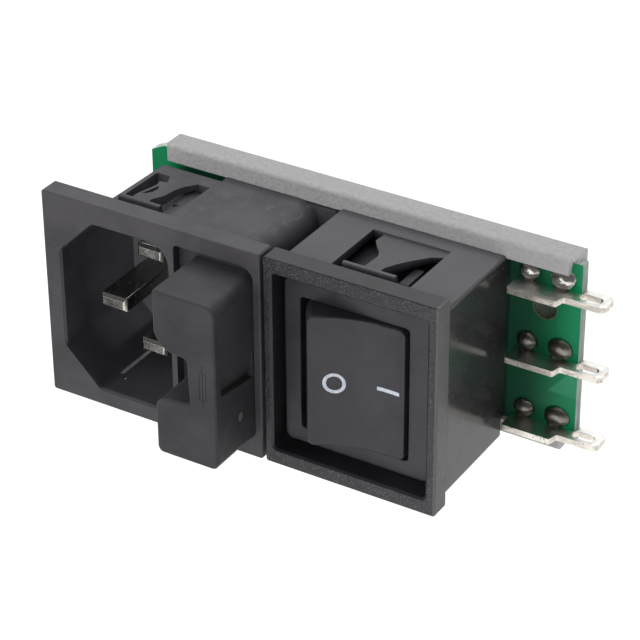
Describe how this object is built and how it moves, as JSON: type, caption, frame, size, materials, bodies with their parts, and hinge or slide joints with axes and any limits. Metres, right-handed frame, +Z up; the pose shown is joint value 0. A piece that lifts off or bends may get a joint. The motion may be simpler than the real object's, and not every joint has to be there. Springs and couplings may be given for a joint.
{
  "type": "power entry module",
  "caption": "Snap-in power entry module: appliance inlet with fuse drawer and two-pole rocker switch joined by a rear circuit board with solder tabs.",
  "frame": {"origin": "centre of the flange's rear plane, where the panel face sits", "axes": "+Y to the rear, into the panel; +X right as seen from the front; +Z up"},
  "size_m": [0.0704, 0.0301, 0.0302],
  "materials": {
    "housing_plastic": "fine satin",
    "drawer_plastic": "fine matt",
    "frame_plastic": "spark-eroded front, smooth sides",
    "bezel_plastic": "smooth satin",
    "rocker_plastic": "fine satin",
    "plunger_plastic": "satin",
    "nickel": "nickel plate",
    "tinned_tab": "bright tin plate",
    "solder": "bright solder",
    "fuse_glass": "clear",
    "fuse_wire": "drawn wire",
    "spring_brass": "tinned brass",
    "contact_brass": "bright",
    "silver": "silver",
    "spring_steel": "drawn wire",
    "board": "green solder mask on glass-fibre board",
    "channel_grey": "fibrous matt"
  },
  "bodies": {
    "module": {"inlet_housing": "housing_plastic", "switch_housing": "frame_plastic", "switch_case": "bezel_plastic", "pin_line": "nickel", "pin_neutral": "nickel", "pin_earth": "nickel", "fuse_clip_front_upper": "spring_brass", "fuse_clip_front_lower": "spring_brass", "fuse_clip_rear_upper": "spring_brass", "fuse_clip_rear_lower": "spring_brass", "circuit_board": "board", "tab_top": "tinned_tab", "tab_middle": "tinned_tab", "tab_bottom": "tinned_tab", "edge_channel_top": "channel_grey", "edge_channel_bottom": "channel_grey", "solder_front": "solder", "solder_rear": "solder", "pivot_terminal_upper": "contact_brass", "contact_terminal_upper": "contact_brass", "fixed_contact_upper": "silver", "pivot_terminal_lower": "contact_brass", "contact_terminal_lower": "contact_brass", "fixed_contact_lower": "silver"},
    "drawer": {"fuse_drawer": "drawer_plastic", "fuse_glass_front": "fuse_glass", "fuse_glass_rear": "fuse_glass", "fuse_caps_front": "nickel", "fuse_caps_rear": "nickel", "fuse_wire_front": "fuse_wire", "fuse_wire_rear": "fuse_wire"},
    "rocker": {"rocker": "rocker_plastic", "spring_upper": "spring_steel", "spring_lower": "spring_steel"},
    "plunger_upper": {"plunger_upper": "plunger_plastic"},
    "plunger_lower": {"plunger_lower": "plunger_plastic"},
    "lever_upper": {"contact_lever_upper": "contact_brass", "moving_contact_upper": "silver"},
    "lever_lower": {"contact_lever_lower": "contact_brass", "moving_contact_lower": "silver"}
  },
  "joints": [
    {"name": "drawer_slide", "type": "slide", "parent": "module", "child": "drawer", "axis": [0, -1, 0], "range_m": [0, 0.014]},
    {"name": "rocker_tilt", "type": "hinge", "parent": "module", "child": "rocker", "pos_m": [0.01615, 0.0019, 0], "axis": [0, 0, 1], "range_deg": [-27, 0]},
    {"name": "lever_tilt_upper", "type": "hinge", "parent": "module", "child": "lever_upper", "pos_m": [0.01615, 0.00785, 0.005], "axis": [0, 0, 1], "range_deg": [0, 14]},
    {"name": "lever_tilt_lower", "type": "hinge", "parent": "module", "child": "lever_lower", "pos_m": [0.01615, 0.00785, -0.005], "axis": [0, 0, 1], "range_deg": [0, 14]},
    {"name": "plunger_slide_upper", "type": "slide", "parent": "rocker", "child": "plunger_upper", "axis": [0.2334, -0.9724, 0], "range_m": [0, 0.0006], "stiffness_N_per_m": 300, "springref_m": -0.0004, "deforming": ["spring_upper"]},
    {"name": "plunger_slide_lower", "type": "slide", "parent": "rocker", "child": "plunger_lower", "axis": [0.2334, -0.9724, 0], "range_m": [0, 0.0006], "stiffness_N_per_m": 300, "springref_m": -0.0004, "deforming": ["spring_lower"]}
  ],
  "couplings": [
    {"joint": "lever_tilt_upper", "follows": "rocker_tilt", "ratio": -0.51852},
    {"joint": "lever_tilt_lower", "follows": "rocker_tilt", "ratio": -0.51852}
  ]
}
